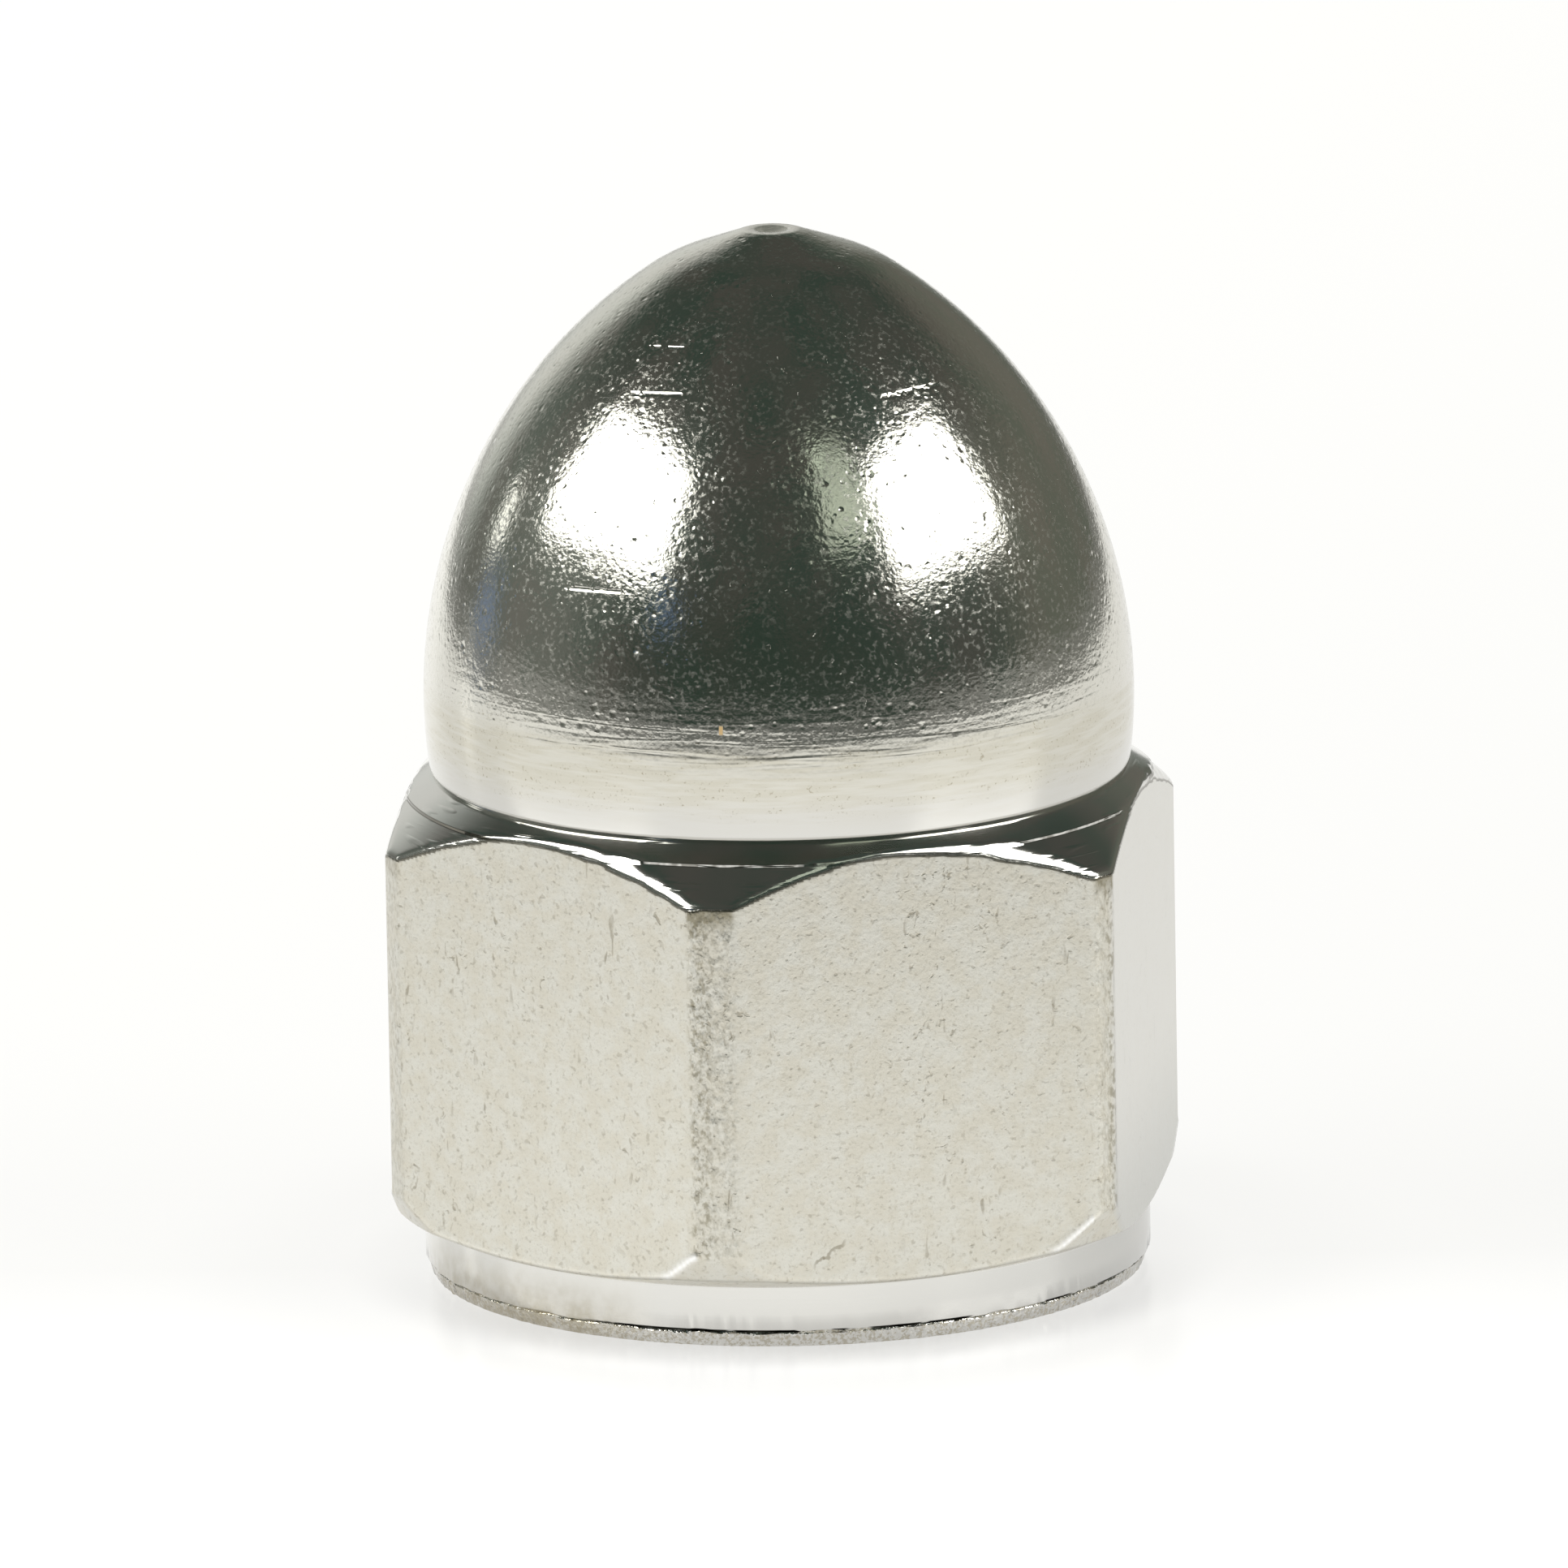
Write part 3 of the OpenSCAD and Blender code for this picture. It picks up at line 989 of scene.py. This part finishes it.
def make_light():
    """The studio: a dark room with two softboxes, and white where the camera looks past the nut."""
    world = bpy.data.worlds.new("studio")
    bpy.context.scene.world = world
    tree = Tree(world)
    generated = tree.node("ShaderNodeTexCoord", output="Generated")
    direction = toward_camera(tree, generated)

    clutter = tree.noise(generated, 0.22, 3.0).smooth(0.35, 0.65)
    room = tree.mix_color(clutter, ROOM_GREEN, ROOM_GREY)
    low_front = sky_patch(direction, *LOW_FRONT)
    light = tree.mix_color(low_front * 0.6, room, LOW_FRONT_GREEN)

    boxes = softbox(direction, *LEFT_BOX) + softbox(direction, *RIGHT_BOX)
    lamp = sky_patch(direction, *LAMP)
    wall = sky_patch(direction, *PALE_WALL)
    panes = 0.25 + tree.noise(generated, 0.05, 2.0, 0.6).smooth(0.42, 0.58)
    window = sky_patch(direction, *WINDOW) * panes
    cloth = sky_patch(direction, *FRONT_CLOTH) + sky_patch(direction, *SIDE_CLOTH)
    left_side = sky_patch(direction, *LEFT_SIDE)
    right_side = sky_patch(direction, *RIGHT_SIDE)
    lamps = boxes * BOX_LIGHT + lamp * LAMP_LIGHT + wall * WALL_LIGHT
    light = tree.add_light(light, LAMP_WHITE, lamps)
    light = tree.add_light(light, WINDOW_GREEN, window * WINDOW_LIGHT)
    light = tree.add_light(light, CLOTH_BLUE, cloth * CLOTH_LIGHT)
    light = tree.add_light(light, LEFT_WHITE, left_side * LEFT_LIGHT)
    light = tree.add_light(light, RIGHT_YELLOW, right_side * RIGHT_LIGHT)

    studio = tree.node("ShaderNodeBackground", None, {"Color": light, "Strength": 1.0})
    white = {"Color": (1, 1, 1, 1), "Strength": BACKDROP_LIGHT}
    backdrop = tree.node("ShaderNodeBackground", None, white)
    camera_ray = tree.node("ShaderNodeLightPath", output="Is Camera Ray")
    mixed = tree.node("ShaderNodeMixShader", None, [camera_ray, studio, backdrop])
    tree.node("ShaderNodeOutputWorld", None, {"Surface": mixed})


def make_camera():
    """The camera, a little above the nut and far off, with a slight roll."""
    toward = Vector((
        math.sin(CAMERA_AZIMUTH) * math.cos(CAMERA_ELEVATION),
        -math.cos(CAMERA_AZIMUTH) * math.cos(CAMERA_ELEVATION),
        math.sin(CAMERA_ELEVATION),
    ))
    right = Vector((math.cos(CAMERA_AZIMUTH), math.sin(CAMERA_AZIMUTH), 0))
    up = toward.cross(right)
    rolled_right = right * math.cos(CAMERA_ROLL) - up * math.sin(CAMERA_ROLL)
    rolled_up = up * math.cos(CAMERA_ROLL) + right * math.sin(CAMERA_ROLL)
    aim = (right * AIM_RIGHT + Vector((0, 0, AIM_HEIGHT))) * MM
    data = bpy.data.cameras.new("camera")
    data.lens = CAMERA_LENS
    data.clip_start = 0.01
    data.clip_end = 50
    camera = bpy.data.objects.new("camera", data)
    bpy.context.scene.collection.objects.link(camera)
    turned = Matrix((rolled_right, rolled_up, toward)).transposed()
    camera.matrix_world = Matrix.Translation(aim + toward * CAMERA_DISTANCE * MM) @ turned.to_4x4()
    bpy.context.scene.camera = camera


# ---------------------------------------------------------------- the scene
make_camera()
nut = make_nut()
plate(nut)
thread = make_thread()
thread.data.materials.append(thread_metal())
for piece in (nut, thread):
    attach(piece, "root")
    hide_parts("cap_nut")
make_table()
make_light()
bpy.context.scene.view_settings.view_transform = "Standard"
